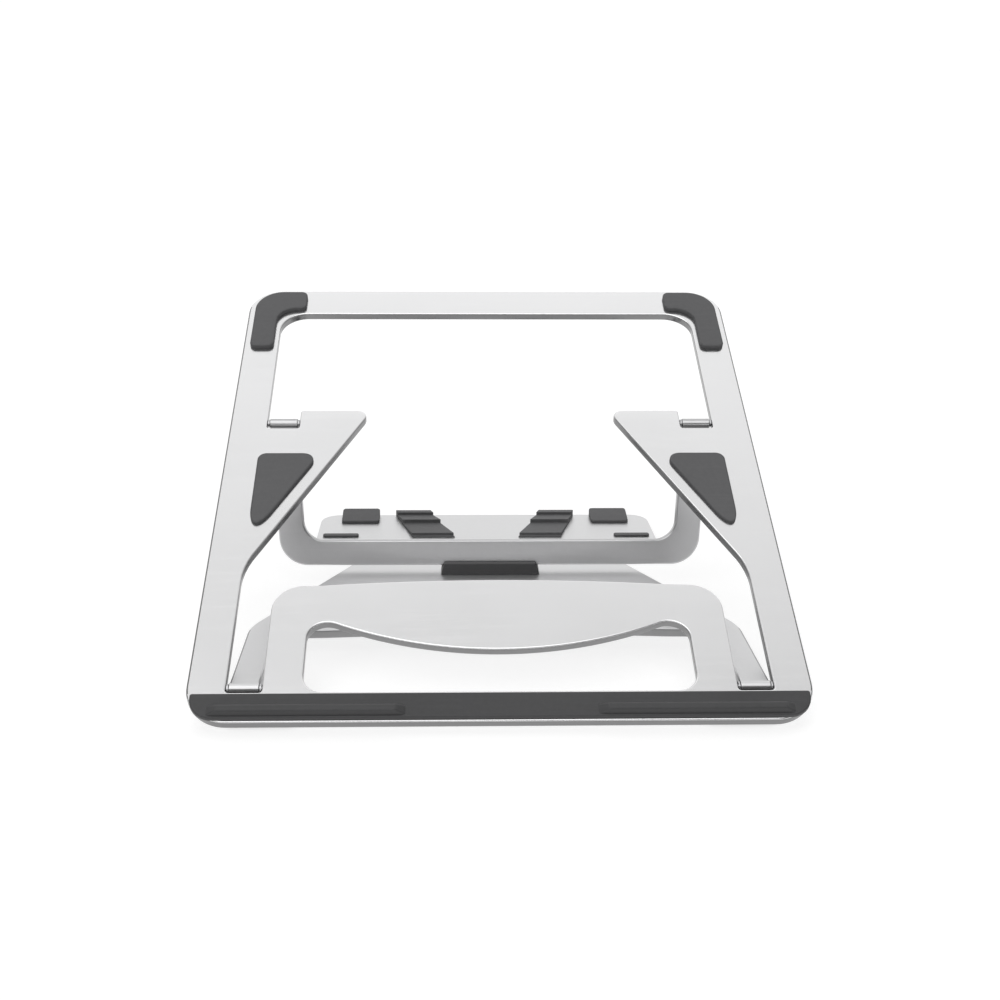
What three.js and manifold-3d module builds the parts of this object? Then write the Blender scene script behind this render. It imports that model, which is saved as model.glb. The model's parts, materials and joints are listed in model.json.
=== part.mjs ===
// A folding laptop stand: three aluminium plates that nest in one another when shut.
// The platform carries the laptop, the base lies on the desk, and a U-shaped leg
// hangs from the platform's wings and stands on a rubber rack on the base.
// Millimetres and degrees, +Z up, +Y to the rear, origin under the middle of the stand.
import * as THREE from 'three';
import { mergeVertices } from 'three/addons/utils/BufferGeometryUtils.js';
import Module from 'manifold-3d';

const wasm = await Module();
wasm.setup();

// ---- Driving dimensions -------------------------------------------------------------

// Platform plate, seen from above. Depths are measured from its front edge.
const PLATFORM_WIDTH = 240;
const PLATFORM_DEPTH = 263;
const PLATE_THICKNESS = 4;
const FRONT_CORNER_RADIUS = 16.5;
const REAR_CORNER_RADIUS = 17;
const REAR_INNER_RADIUS = 13.4;
const REAR_RAIL = 18.8;
const SIDE_RAIL_REAR = 17;
const SIDE_RAIL_FRONT = 15;
const FRONT_RAIL = 13.7;
const KNEE_RADIUS = 30;
const EDGE_CHAMFER = 0.7;
const SMALL_CORNER = 0.9;

// Wings: they reach inward from the side rails and carry the leg hinges.
const WING_REAR_MARGIN = 7.2;
const WING_TIP_HALF_WIDTH = 55;
const WING_TIP_RADIUS = 4.5;
const WING_KNEE_DEPTH = 76;
const LEG_SLOT_WIDTH = 14.8;

// Inner frame behind the front rail, with its smile-shaped window.
const FRONT_SLOT_WIDTH = 13.7;
const FRAME_CROWN_DEPTH = 69;
const FRAME_CROWN_FALL = 3.2;
const FRAME_CORNER_RADIUS = 12.5;
const WINDOW_SIDE = 15.3;
const WINDOW_CORNER_RADIUS = 8;
const WINDOW_SMILE_DEPTH = 33.3;
const WINDOW_SMILE_RADIUS = 168;

// Hinges: a pin runs through a barrel on the turning plate and into the platform.
const FRONT_HINGE_DEPTH = 16.5;
const LEG_HINGE_DEPTH = 164.8;
const LEG_SLOT_ROOM = 4.6;
const BARREL_RADIUS = 2.3;
const PIN_RADIUS = 1;
const PIN_GRIP = 6;
const PIN_CLEARANCE = 0.05;
const PIN_END_ROOM = 0.3;
const HINGE_SIDE_GAP = 1.1;
const WASHER_THICKNESS = 0.6;
const WASHER_RADIUS = 1.9;

// Pose as it stands.
const OPENING_ANGLE = 28.5;
const BASE_SLOPE = 1.95;
const LEG_LEAN = 8.9;

// Base plate. Its lengths are measured from the front hinge.
const BASE_EDGE_GAP = 3.2;
const BASE_ARM_SIDE_GAP = 1.1;
const BASE_FRAME_GAP = 0.9;
const BASE_KNEE_RADIUS = 24;
const NECK_RADIUS = 8;
const HEAD_WING_GAP = 2;
const HEAD_CORNER_RADIUS = 10;
const NEST_GAP = 0.6;

// Leg.
const LEG_OUTER_TAPER = 3.9;
const LEG_INNER_TAPER = 2.5;
const LEG_BAR_HEIGHT = 11.8;
const LEG_OUTER_RADIUS = 13.3;
const LEG_INNER_RADIUS = 9.5;

// Rubber parts.
const SEAT_GAP = 0.1;
const RUBBER_BEVEL = 0.7;
const STRIP_DEPTH = 11.1;
const STRIP_FRONT_MARGIN = 0.8;
const STRIP_SIDE_MARGIN = 2.2;
const STRIP_THICKNESS = 1.8;
const LIP_HEIGHT = 4.4;
const LIP_DEPTH = 5.2;
const LIP_START = 35;
const LIP_END_MARGIN = 8;
const LIP_END_SLOPE = 5;
const LIP_FACE_SLOPE = 1.6;
const CORNER_PAD_THICKNESS = 2.2;
const CORNER_PAD_OUTER_MARGIN = 3.4;
const CORNER_PAD_INNER_MARGIN = 2.2;
const CORNER_PAD_SIDE_LENGTH = 46;
const CORNER_PAD_REAR_LENGTH = 28.5;
const CORNER_PAD_END_RADIUS = 3;
const CORNER_PAD_INNER_RADIUS = 10;
const WING_PAD_THICKNESS = 1.6;
const WING_PAD_REAR_MARGIN = 29.8;
const WING_PAD_EDGE_MARGIN = 5.8;
const WING_PAD_RADIUS = 5;
const REST_PAD_WIDTH = 19.5;
const REST_PAD_LENGTH = 13.2;
const REST_PAD_FRONT_HEIGHT = 1.4;
const REST_PAD_REAR_HEIGHT = 4;
const REST_PAD_INSET = 20.9;
const REST_PAD_REAR_MARGIN = 1.2;
const GUIDE_STRIP_WIDTH = 18;
const GUIDE_STRIP_LENGTH = 3.6;
const GUIDE_STRIP_HEIGHT = 0.9;
const GUIDE_STRIP_INSET = 12.2;
const GUIDE_STRIP_MARGIN = 9.1;

// Rack: a stop bar for the steepest setting and two stepped blocks for the lower ones.
const STOP_HALF_WIDTH = 23;
const STOP_LIP_HEIGHT = 5.1;
const STOP_LIP_DEPTH = 3.6;
const STOP_TREAD_HEIGHT = 2.3;
const STOP_TREAD_DEPTH = 5.2;
const STOP_END_CHAMFER = 1.6;
const FOOT_GAP = 0.3;
const STEP_MARGIN = 8.5;
const STEP_WIDTH = 21.5;
const STEP_INNER_START = 16.1;
const STEP_INNER_SPLAY = 0.37;
const STEP_OUTER_SPLAY = 0.28;
// Each notch: its length, then the height of its tread at the front and at the rear.
const STEP_NOTCHES = [
  [1.5, 0.5, 0.5],
  [18, 1.9, 0.95],
  [10.5, 2.95, 1.8],
  [4, 3.3, 3.3],
];

// Feet.
const FRONT_FOOT_RADIUS = 2.4;
const FRONT_FOOT_FLAT_SINK = 0.2;
const FRONT_FOOT_INSET = 3.6;
const FRONT_FOOT_LENGTH = 24;
const FRONT_FOOT_SIDE_INSET = 29;
const REAR_FOOT_WIDTH = 20;
const REAR_FOOT_LENGTH = 10;
const REAR_FOOT_SIDE_INSET = 20.9;
const REAR_FOOT_REAR_INSET = 14.4;

// Fineness of round stretches.
const ARC_STEPS_PER_QUARTER = 10;
const PIN_SIDES = 24;
const BARREL_SIDES = 32;

// ---- Derived places -----------------------------------------------------------------

const HALF_PLATE = PLATE_THICKNESS / 2;
const PLATFORM_HALF_WIDTH = PLATFORM_WIDTH / 2;
const PLATFORM_TILT = OPENING_ANGLE - BASE_SLOPE;
const RAIL_INNER_REAR = PLATFORM_HALF_WIDTH - SIDE_RAIL_REAR;
const RAIL_INNER_FRONT = PLATFORM_HALF_WIDTH - SIDE_RAIL_FRONT;
const LEG_SLOT_INNER = RAIL_INNER_REAR - LEG_SLOT_WIDTH;
const FRAME_HALF_WIDTH = RAIL_INNER_FRONT - FRONT_SLOT_WIDTH;
const WINDOW_HALF_WIDTH = FRAME_HALF_WIDTH - WINDOW_SIDE;
const WING_REAR_DEPTH = LEG_HINGE_DEPTH + WING_REAR_MARGIN;
const WING_PAD_REAR_DEPTH = WING_REAR_DEPTH - WING_PAD_REAR_MARGIN;
const LIP_END = PLATFORM_HALF_WIDTH - LIP_END_MARGIN;
const FRONT_FOOT_CENTRE = PLATFORM_HALF_WIDTH - FRONT_FOOT_SIDE_INSET;
const LEG_SLOT_WALL = LEG_HINGE_DEPTH - LEG_SLOT_ROOM;
const HINGE_SPAN = LEG_HINGE_DEPTH - FRONT_HINGE_DEPTH;

const radians = THREE.MathUtils.degToRad;
const sine = (angle) => Math.sin(radians(angle));
const cosine = (angle) => Math.cos(radians(angle));

// The leg reaches from its hinge down to the rubber tread of the stop bar.
const LEG_HINGE_RISE = HINGE_SPAN * sine(OPENING_ANGLE);
const TREAD_LEVEL = HALF_PLATE + SEAT_GAP + STOP_TREAD_HEIGHT;
const LEG_LENGTH =
  (LEG_HINGE_RISE - TREAD_LEVEL - FOOT_GAP - HALF_PLATE * sine(LEG_LEAN)) / cosine(LEG_LEAN);
const LEG_BARREL_INNER = LEG_SLOT_INNER + HINGE_SIDE_GAP;
const LEG_BARREL_OUTER = RAIL_INNER_REAR - HINGE_SIDE_GAP;
const LEG_FOOT_HALF_WIDTH = LEG_BARREL_OUTER - LEG_OUTER_TAPER;
const LEG_INNER_FOOT_HALF_WIDTH = LEG_BARREL_INNER - LEG_INNER_TAPER;
const LEG_ANGLE = 90 + OPENING_ANGLE + LEG_LEAN;

// Where the leg's front face meets the base, seen from the front hinge.
const FOOT_FRONT =
  HINGE_SPAN * cosine(OPENING_ANGLE) - LEG_LENGTH * sine(LEG_LEAN) - HALF_PLATE * cosine(LEG_LEAN);

// The base nests inside the platform's opening and inside the folded leg.
const ARM_INNER = FRAME_HALF_WIDTH + BASE_ARM_SIDE_GAP;
const ARM_OUTER = RAIL_INNER_FRONT - BASE_ARM_SIDE_GAP;
const HEAD_HALF_WIDTH = LEG_INNER_FOOT_HALF_WIDTH - NEST_GAP;
const HEAD_FRONT = WING_REAR_DEPTH + HEAD_WING_GAP - FRONT_HINGE_DEPTH;
const HEAD_REAR = HINGE_SPAN + LEG_LENGTH - LEG_BAR_HEIGHT - NEST_GAP;
const STEP_START = HEAD_FRONT + STEP_MARGIN;
const GUIDE_STRIP_START = HEAD_FRONT + GUIDE_STRIP_MARGIN;
const GUIDE_STRIP_CENTRE = HEAD_HALF_WIDTH - GUIDE_STRIP_INSET;
const REST_PAD_CENTRE = HEAD_HALF_WIDTH - REST_PAD_INSET;
const REAR_FOOT_CENTRE = HEAD_HALF_WIDTH - REAR_FOOT_SIDE_INSET;
const REAR_FOOT_PLACE = HEAD_REAR - REAR_FOOT_REAR_INSET;
const WING_SLOPE = (RAIL_INNER_FRONT - WING_TIP_HALF_WIDTH) / (WING_REAR_DEPTH - WING_KNEE_DEPTH);
const WING_SLOPE_LENGTH = Math.hypot(1, WING_SLOPE);

// Height of the front hinge: the front feet touch the desk.
const FRONT_FOOT_DROP =
  (FRONT_HINGE_DEPTH - FRONT_FOOT_INSET) * sine(PLATFORM_TILT) + HALF_PLATE * cosine(PLATFORM_TILT);
const FRONT_HINGE_HEIGHT = FRONT_FOOT_DROP + FRONT_FOOT_RADIUS - FRONT_FOOT_FLAT_SINK;

// ---- Outlines -----------------------------------------------------------------------

const mirrorPoint = ([x, y, radius]) => [-x, y, radius];
const mirrored = (corners) => corners.map(mirrorPoint).reverse();

// Points of an arc, ends included.
function arcPoints(centreX, centreY, radius, startAngle, endAngle, steps) {
  const points = [];
  for (let i = 0; i <= steps; i += 1) {
    const angle = startAngle + ((endAngle - startAngle) * i) / steps;
    points.push([centreX + radius * Math.cos(angle), centreY + radius * Math.sin(angle)]);
  }
  return points;
}

// A closed outline from corners [x, y, radius]; a corner without a radius stays sharp.
function roundedOutline(corners) {
  const points = [];
  const count = corners.length;
  corners.forEach(([x, y, radius = 0], index) => {
    const here = new THREE.Vector2(x, y);
    if (radius === 0) {
      points.push(here);
      return;
    }
    const before = new THREE.Vector2(...corners[(index + count - 1) % count]).sub(here).normalize();
    const after = new THREE.Vector2(...corners[(index + 1) % count]).sub(here).normalize();
    const halfAngle = Math.acos(THREE.MathUtils.clamp(before.dot(after), -1, 1)) / 2;
    const middle = before.clone().add(after).normalize();
    const centre = here.clone().addScaledVector(middle, radius / Math.sin(halfAngle));
    const reach = radius / Math.tan(halfAngle);
    const first = here.clone().addScaledVector(before, reach).sub(centre);
    const last = here.clone().addScaledVector(after, reach).sub(centre);
    const startAngle = first.angle();
    let sweep = last.angle() - startAngle;
    if (sweep > Math.PI) sweep -= 2 * Math.PI;
    if (sweep < -Math.PI) sweep += 2 * Math.PI;
    const steps = Math.max(2, Math.ceil((Math.abs(sweep) / (Math.PI / 2)) * ARC_STEPS_PER_QUARTER));
    arcPoints(centre.x, centre.y, radius, startAngle, startAngle + sweep, steps).forEach(
      ([px, py]) => points.push(new THREE.Vector2(px, py)),
    );
  });
  return points;
}

// The gentle crown of the inner frame's rear edge, from the right side to the left.
function crownPoints(halfWidth, crownY) {
  const radius = (halfWidth ** 2 + FRAME_CROWN_FALL ** 2) / (2 * FRAME_CROWN_FALL);
  const halfAngle = Math.asin(halfWidth / radius);
  const quarter = Math.PI / 2;
  return arcPoints(0, crownY - radius, radius, quarter - halfAngle, quarter + halfAngle, 12);
}

// ---- Solids -------------------------------------------------------------------------

// A plate of the given thickness about z = 0, with chamfered edges.
function plateGeometry(outline, holes, thickness, chamfer) {
  const shape = new THREE.Shape(outline);
  holes.forEach((hole) => shape.holes.push(new THREE.Path(hole)));
  const geometry = new THREE.ExtrudeGeometry(shape, {
    depth: thickness - 2 * chamfer,
    bevelEnabled: true,
    bevelThickness: chamfer,
    bevelSize: chamfer,
    bevelOffset: -chamfer,
    bevelSegments: 1,
  });
  return geometry.translate(0, 0, chamfer - thickness / 2);
}

// A prism along X from an outline in the Y-Z plane.
function prismAlongX(outline, startX, endX) {
  const shape = new THREE.Shape(outline.map(([y, z]) => new THREE.Vector2(y, z)));
  const geometry = new THREE.ExtrudeGeometry(shape, { depth: endX - startX, bevelEnabled: false });
  const toYZX = new THREE.Matrix4().makeBasis(
    new THREE.Vector3(0, 1, 0),
    new THREE.Vector3(0, 0, 1),
    new THREE.Vector3(1, 0, 0),
  );
  return geometry.applyMatrix4(toYZX).translate(startX, 0, 0);
}

// A rod along X.
function rodAlongX(radius, startX, endX, y, z, sides) {
  const geometry = new THREE.CylinderGeometry(radius, radius, endX - startX, sides);
  return geometry.rotateZ(Math.PI / 2).translate((startX + endX) / 2, y, z);
}

// A block whose top is inset on each side: [x and y at the foot], [x and y at the top].
function taperedBlock(foot, top, lowZ, highZ) {
  const geometry = new THREE.BoxGeometry(1, 1, 1);
  const position = geometry.attributes.position;
  for (let i = 0; i < position.count; i += 1) {
    const face = position.getZ(i) > 0 ? top : foot;
    const x = position.getX(i) > 0 ? face.x[1] : face.x[0];
    const y = position.getY(i) > 0 ? face.y[1] : face.y[0];
    position.setXYZ(i, x, y, position.getZ(i) > 0 ? highZ : lowZ);
  }
  return geometry;
}

function toManifold(geometry) {
  const bare = geometry.index ? geometry.toNonIndexed() : geometry.clone();
  bare.deleteAttribute('normal');
  bare.deleteAttribute('uv');
  const merged = mergeVertices(bare, 1e-4);
  const vertProperties = new Float32Array(merged.attributes.position.array);
  const triVerts = new Uint32Array(merged.index.array);
  return new wasm.Manifold(new wasm.Mesh({ numProp: 3, vertProperties, triVerts }));
}

function fromManifold(solid) {
  const mesh = solid.getMesh();
  const geometry = new THREE.BufferGeometry();
  geometry.setAttribute('position', new THREE.BufferAttribute(mesh.vertProperties, 3));
  geometry.setIndex(new THREE.BufferAttribute(mesh.triVerts, 1));
  geometry.computeVertexNormals();
  return geometry;
}

function joined(geometries) {
  const [first, ...rest] = geometries.map(toManifold);
  return fromManifold(rest.reduce((solid, other) => solid.add(other), first));
}

function cut(geometry, tools) {
  const subtract = (solid, tool) => solid.subtract(tool);
  return fromManifold(tools.map(toManifold).reduce(subtract, toManifold(geometry)));
}

// ---- Materials ----------------------------------------------------------------------

const aluminium = new THREE.MeshStandardMaterial({ color: 0xd9dadb, roughness: 0.38, metalness: 0.9 });
const legAluminium = new THREE.MeshStandardMaterial({ color: 0xc4c5c7, roughness: 0.42, metalness: 0.9 });
const rubber = new THREE.MeshStandardMaterial({ color: 0x55565a, roughness: 0.8, metalness: 0 });
const steel = new THREE.MeshStandardMaterial({ color: 0x9a9b9d, roughness: 0.3, metalness: 1 });

function addPiece(group, name, geometry, material) {
  const mesh = new THREE.Mesh(geometry, material);
  mesh.name = name;
  group.add(mesh);
}

const SIDES = [
  ['left', -1],
  ['right', 1],
];

// The x-range of a piece from its right-hand range.
const sideRange = (side, low, high) => (side > 0 ? [low, high] : [-high, -low]);

// ---- Platform -----------------------------------------------------------------------

// Platform places are drawn from the front hinge, so its depths shift by that much.
const fromFront = (depth) => depth - FRONT_HINGE_DEPTH;

function platformOutline() {
  const frontY = fromFront(0);
  const rearY = fromFront(PLATFORM_DEPTH);
  return roundedOutline([
    [-PLATFORM_HALF_WIDTH, frontY, FRONT_CORNER_RADIUS],
    [PLATFORM_HALF_WIDTH, frontY, FRONT_CORNER_RADIUS],
    [PLATFORM_HALF_WIDTH, rearY, REAR_CORNER_RADIUS],
    [-PLATFORM_HALF_WIDTH, rearY, REAR_CORNER_RADIUS],
  ]);
}

// The hourglass opening between the rails, the wings and the inner frame.
function mainOpening() {
  const crownHalfWidth = FRAME_HALF_WIDTH - FRAME_CORNER_RADIUS;
  const frameCornerY = fromFront(FRAME_CROWN_DEPTH - FRAME_CROWN_FALL);
  const rightSide = [
    [RAIL_INNER_REAR, fromFront(PLATFORM_DEPTH - REAR_RAIL), REAR_INNER_RADIUS],
    [RAIL_INNER_REAR, fromFront(LEG_SLOT_WALL), SMALL_CORNER],
    [LEG_SLOT_INNER, fromFront(LEG_SLOT_WALL), SMALL_CORNER],
    [LEG_SLOT_INNER, fromFront(WING_REAR_DEPTH), SMALL_CORNER],
    [WING_TIP_HALF_WIDTH, fromFront(WING_REAR_DEPTH), WING_TIP_RADIUS],
    [RAIL_INNER_FRONT, fromFront(WING_KNEE_DEPTH), KNEE_RADIUS],
    [RAIL_INNER_FRONT, fromFront(FRONT_RAIL), SMALL_CORNER],
    [FRAME_HALF_WIDTH, fromFront(FRONT_RAIL), SMALL_CORNER],
    [FRAME_HALF_WIDTH, frameCornerY, FRAME_CORNER_RADIUS],
  ];
  const crown = crownPoints(crownHalfWidth, fromFront(FRAME_CROWN_DEPTH)).slice(1, -1);
  return roundedOutline([...rightSide, ...crown, ...mirrored(rightSide)]);
}

// The window in the inner frame: two crests joined by a sagging arc.
function windowOpening() {
  const frontY = fromFront(FRONT_RAIL);
  const crestX = WINDOW_HALF_WIDTH - WINDOW_CORNER_RADIUS;
  const smileCentreY = fromFront(WINDOW_SMILE_DEPTH + WINDOW_SMILE_RADIUS);
  const centreDistance = WINDOW_SMILE_RADIUS + WINDOW_CORNER_RADIUS;
  const crestY = smileCentreY - Math.sqrt(centreDistance ** 2 - crestX ** 2);
  const lean = Math.asin(crestX / centreDistance);
  const quarter = Math.PI / 2;
  const steps = ARC_STEPS_PER_QUARTER;
  const crest = arcPoints(crestX, crestY, WINDOW_CORNER_RADIUS, 0, quarter + lean, steps);
  const smile = arcPoints(0, smileCentreY, WINDOW_SMILE_RADIUS, -quarter + lean, -quarter - lean, 2 * steps);
  return roundedOutline([
    [-WINDOW_HALF_WIDTH, frontY, WINDOW_CORNER_RADIUS],
    [WINDOW_HALF_WIDTH, frontY, WINDOW_CORNER_RADIUS],
    ...crest,
    ...smile.slice(1, -1),
    ...mirrored(crest),
  ]);
}

// Hinge data: where each pin lies and the slot that its barrel turns in.
const HINGES = [
  { name: 'front_hinge', y: 0, inner: FRAME_HALF_WIDTH, outer: RAIL_INNER_FRONT },
  { name: 'leg_hinge', y: HINGE_SPAN, inner: LEG_SLOT_INNER, outer: RAIL_INNER_REAR },
];

function buildPlatform(platform) {
  const holes = [mainOpening(), windowOpening()];
  const plate = plateGeometry(platformOutline(), holes, PLATE_THICKNESS, EDGE_CHAMFER);
  const pinHoles = [];
  const holeEnd = PIN_GRIP + PIN_END_ROOM;
  HINGES.forEach(({ y, inner, outer }) => {
    SIDES.forEach(([, side]) => {
      const [start, end] = sideRange(side, inner - holeEnd, outer + holeEnd);
      pinHoles.push(rodAlongX(PIN_RADIUS + PIN_CLEARANCE, start, end, y, 0, PIN_SIDES));
    });
  });
  addPiece(platform, 'platform_plate', cut(plate, pinHoles), aluminium);
}

function washerAlongX(startX, endX, y) {
  const bore = PIN_RADIUS + PIN_CLEARANCE;
  const profile = [
    new THREE.Vector2(bore, startX),
    new THREE.Vector2(WASHER_RADIUS, startX),
    new THREE.Vector2(WASHER_RADIUS, endX),
    new THREE.Vector2(bore, endX),
    new THREE.Vector2(bore, startX),
  ];
  return new THREE.LatheGeometry(profile, PIN_SIDES).rotateZ(-Math.PI / 2).translate(0, y, 0);
}

function buildHinges(platform) {
  const washerInset = (HINGE_SIDE_GAP - WASHER_THICKNESS) / 2;
  HINGES.forEach(({ name, y, inner, outer }) => {
    SIDES.forEach(([sideName, side]) => {
      const [pinStart, pinEnd] = sideRange(side, inner - PIN_GRIP, outer + PIN_GRIP);
      const pin = rodAlongX(PIN_RADIUS, pinStart, pinEnd, y, 0, PIN_SIDES);
      addPiece(platform, `${name}_pin_${sideName}`, pin, steel);
      const innerStart = inner + washerInset;
      const outerEnd = outer - washerInset;
      const places = [
        ['inner', innerStart, innerStart + WASHER_THICKNESS],
        ['outer', outerEnd - WASHER_THICKNESS, outerEnd],
      ];
      places.forEach(([place, low, high]) => {
        const washer = washerAlongX(...sideRange(side, low, high), y);
        addPiece(platform, `${name}_washer_${place}_${sideName}`, washer, steel);
      });
    });
  });
}

// The stop strip lies on the front rail and follows its rounded corners; two lips hold the laptop.
function buildStopStrip(platform) {
  const baseZ = HALF_PLATE + SEAT_GAP;
  const halfWidth = PLATFORM_HALF_WIDTH - STRIP_SIDE_MARGIN;
  const frontY = fromFront(STRIP_FRONT_MARGIN);
  const rearY = frontY + STRIP_DEPTH;
  const cornerRadius = Math.min(FRONT_CORNER_RADIUS - STRIP_SIDE_MARGIN, STRIP_DEPTH - SMALL_CORNER - 1);
  const outline = roundedOutline([
    [-halfWidth, frontY, cornerRadius],
    [halfWidth, frontY, cornerRadius],
    [halfWidth, rearY, SMALL_CORNER],
    [-halfWidth, rearY, SMALL_CORNER],
  ]);
  const strip = plateGeometry(outline, [], STRIP_THICKNESS, RUBBER_BEVEL);
  strip.translate(0, 0, baseZ + STRIP_THICKNESS / 2);
  const lipFront = frontY + RUBBER_BEVEL;
  const lips = SIDES.map(([, side]) =>
    taperedBlock(
      { x: sideRange(side, LIP_START, LIP_END), y: [lipFront, lipFront + LIP_DEPTH] },
      {
        x: sideRange(side, LIP_START + LIP_END_SLOPE, LIP_END - LIP_END_SLOPE),
        y: [lipFront + LIP_FACE_SLOPE / 2, lipFront + LIP_DEPTH - LIP_FACE_SLOPE],
      },
      baseZ + STRIP_THICKNESS / 2,
      baseZ + LIP_HEIGHT,
    ),
  );
  addPiece(platform, 'front_stop_strip', joined([strip, ...lips]), rubber);
}

function cornerPadOutline(side) {
  const outerX = PLATFORM_HALF_WIDTH - CORNER_PAD_OUTER_MARGIN;
  const innerX = RAIL_INNER_REAR + CORNER_PAD_INNER_MARGIN;
  const rearY = fromFront(PLATFORM_DEPTH - CORNER_PAD_OUTER_MARGIN);
  const innerY = fromFront(PLATFORM_DEPTH - REAR_RAIL + CORNER_PAD_INNER_MARGIN);
  const sideEndY = rearY - CORNER_PAD_SIDE_LENGTH + CORNER_PAD_END_RADIUS;
  const rearEndX = outerX - CORNER_PAD_REAR_LENGTH + CORNER_PAD_END_RADIUS;
  const corners = [
    [outerX, sideEndY, CORNER_PAD_END_RADIUS],
    [outerX, rearY, REAR_CORNER_RADIUS - CORNER_PAD_OUTER_MARGIN],
    [rearEndX, rearY, CORNER_PAD_END_RADIUS],
    [rearEndX, innerY, CORNER_PAD_END_RADIUS],
    [innerX, innerY, CORNER_PAD_INNER_RADIUS],
    [innerX, sideEndY, CORNER_PAD_END_RADIUS],
  ];
  return roundedOutline(side > 0 ? corners : mirrored(corners));
}

// The wing pad is a rounded triangle whose long edge runs beside the wing's slanted edge.
function wingPadOutline(side) {
  const slantShift = WING_PAD_EDGE_MARGIN * WING_SLOPE_LENGTH;
  const slantX = (depth) => WING_TIP_HALF_WIDTH + (WING_REAR_DEPTH - depth) * WING_SLOPE + slantShift;
  const frontDepth = WING_REAR_DEPTH - (RAIL_INNER_FRONT - WING_TIP_HALF_WIDTH - slantShift) / WING_SLOPE;
  const corners = [
    [RAIL_INNER_FRONT, fromFront(frontDepth), WING_PAD_RADIUS],
    [RAIL_INNER_FRONT, fromFront(WING_PAD_REAR_DEPTH), WING_PAD_RADIUS - 1],
    [slantX(WING_PAD_REAR_DEPTH), fromFront(WING_PAD_REAR_DEPTH), WING_PAD_RADIUS],
  ];
  return roundedOutline(side > 0 ? corners : mirrored(corners));
}

function buildPlatformPads(platform) {
  const pads = [
    ['rear_corner_pad', cornerPadOutline, CORNER_PAD_THICKNESS],
    ['wing_pad', wingPadOutline, WING_PAD_THICKNESS],
  ];
  pads.forEach(([name, outline, thickness]) => {
    SIDES.forEach(([sideName, side]) => {
      const pad = plateGeometry(outline(side), [], thickness, RUBBER_BEVEL);
      pad.translate(0, 0, HALF_PLATE + SEAT_GAP + thickness / 2);
      addPiece(platform, `${name}_${sideName}`, pad, rubber);
    });
  });
}

// ---- Base ---------------------------------------------------------------------------

function baseOutline() {
  const gapAcross = BASE_EDGE_GAP * WING_SLOPE_LENGTH;
  const slantX = (y) =>
    WING_TIP_HALF_WIDTH + (fromFront(WING_REAR_DEPTH) - y) * WING_SLOPE - gapAcross;
  const kneeY = fromFront(WING_REAR_DEPTH) - (ARM_OUTER - WING_TIP_HALF_WIDTH + gapAcross) / WING_SLOPE;
  const crownHalfWidth = FRAME_HALF_WIDTH - FRAME_CORNER_RADIUS;
  const crownY = fromFront(FRAME_CROWN_DEPTH) + BASE_FRAME_GAP;
  const rightSide = [
    [ARM_INNER, crownY - FRAME_CROWN_FALL, FRAME_CORNER_RADIUS + BASE_FRAME_GAP],
    [ARM_INNER, 0],
    [ARM_OUTER, 0],
    [ARM_OUTER, kneeY, BASE_KNEE_RADIUS],
    [slantX(HEAD_FRONT), HEAD_FRONT, NECK_RADIUS],
    [HEAD_HALF_WIDTH, HEAD_FRONT, HEAD_CORNER_RADIUS],
    [HEAD_HALF_WIDTH, HEAD_REAR, HEAD_CORNER_RADIUS],
  ];
  const crown = crownPoints(crownHalfWidth, crownY).slice(1, -1).reverse();
  return roundedOutline([...crown, ...rightSide, ...mirrored(rightSide)]);
}

function buildBase(base) {
  const plate = plateGeometry(baseOutline(), [], PLATE_THICKNESS, EDGE_CHAMFER);
  const barrels = [];
  const bores = [];
  SIDES.forEach(([, side]) => {
    const [start, end] = sideRange(side, ARM_INNER, ARM_OUTER);
    barrels.push(rodAlongX(BARREL_RADIUS, start, end, 0, 0, BARREL_SIDES));
    bores.push(rodAlongX(PIN_RADIUS + PIN_CLEARANCE, start - 1, end + 1, 0, 0, PIN_SIDES));
  });
  addPiece(base, 'base_plate', cut(joined([plate, ...barrels]), bores), aluminium);
}

// The stop bar: a lip in front of the leg's foot and a tread under it.
function buildStopBar(base) {
  const lowZ = HALF_PLATE + SEAT_GAP;
  const lipRear = FOOT_FRONT - FOOT_GAP - SEAT_GAP;
  const lipFront = lipRear - STOP_LIP_DEPTH;
  const lip = taperedBlock(
    { x: [-STOP_HALF_WIDTH, STOP_HALF_WIDTH], y: [lipFront, lipRear] },
    {
      x: [-STOP_HALF_WIDTH + STOP_END_CHAMFER, STOP_HALF_WIDTH - STOP_END_CHAMFER],
      y: [lipFront + STOP_END_CHAMFER / 2, lipRear],
    },
    lowZ,
    lowZ + STOP_LIP_HEIGHT,
  );
  const tread = taperedBlock(
    { x: [-STOP_HALF_WIDTH, STOP_HALF_WIDTH], y: [lipRear - 1, lipRear + STOP_TREAD_DEPTH] },
    {
      x: [-STOP_HALF_WIDTH + STOP_END_CHAMFER, STOP_HALF_WIDTH - STOP_END_CHAMFER],
      y: [lipRear - 1, lipRear + STOP_TREAD_DEPTH - SMALL_CORNER / 2],
    },
    lowZ,
    TREAD_LEVEL,
  );
  addPiece(base, 'leg_stop_bar', joined([lip, tread]), rubber);
}

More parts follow.
